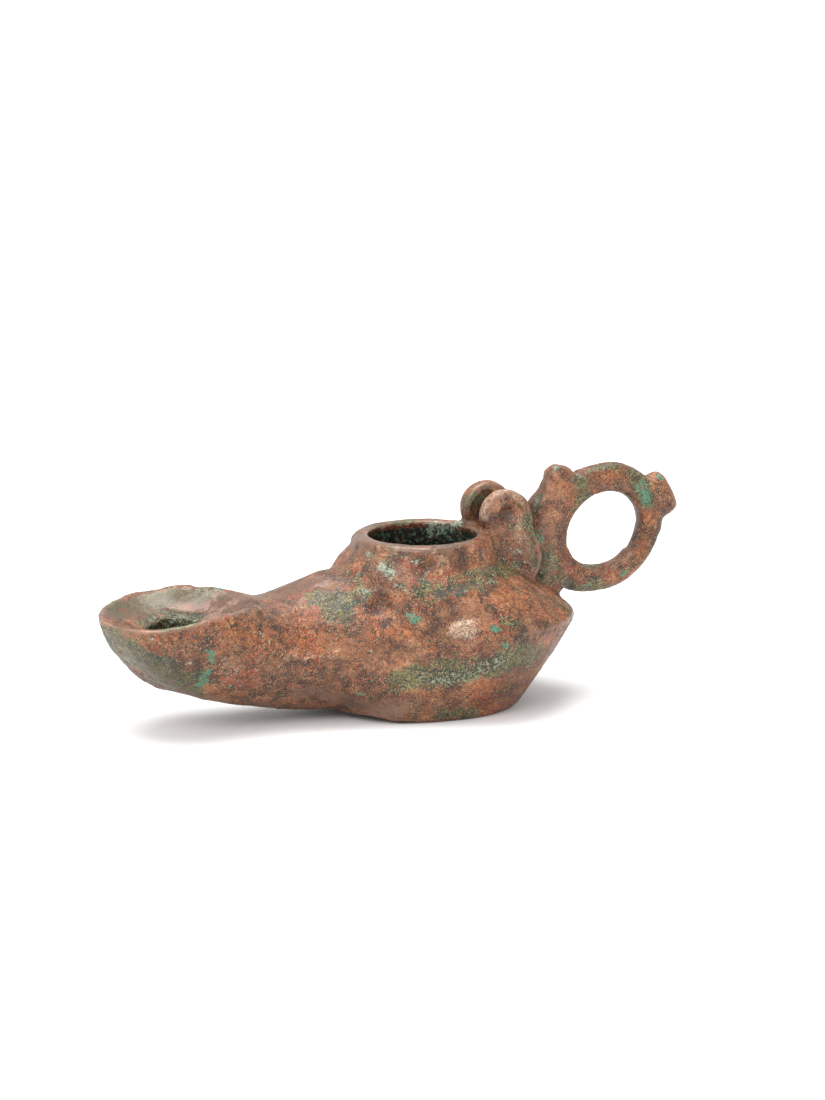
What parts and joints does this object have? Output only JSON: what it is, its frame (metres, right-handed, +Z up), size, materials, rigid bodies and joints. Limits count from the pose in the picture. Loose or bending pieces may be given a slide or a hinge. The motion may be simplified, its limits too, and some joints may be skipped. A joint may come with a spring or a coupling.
{
  "type": "oil lamp",
  "caption": "Ancient bronze oil lamp with a round body, open filling hole, long nozzle ending in a wick dish, upright finger ring and hinge lugs for a lost lid.",
  "frame": {"origin": "middle of the flat foot, on the surface the lamp stands on", "axes": "+X from the nozzle towards the finger ring, so the nozzle points along -X; +Y to the side away from the picture's camera; +Z up"},
  "size_m": [0.1215, 0.0464, 0.0459],
  "materials": {
    "bronze": "corroded bronze: matt red-brown metal with dark, green and grey-olive patina"
  },
  "bodies": {
    "root": {"lamp": "bronze"}
  },
  "joints": []
}
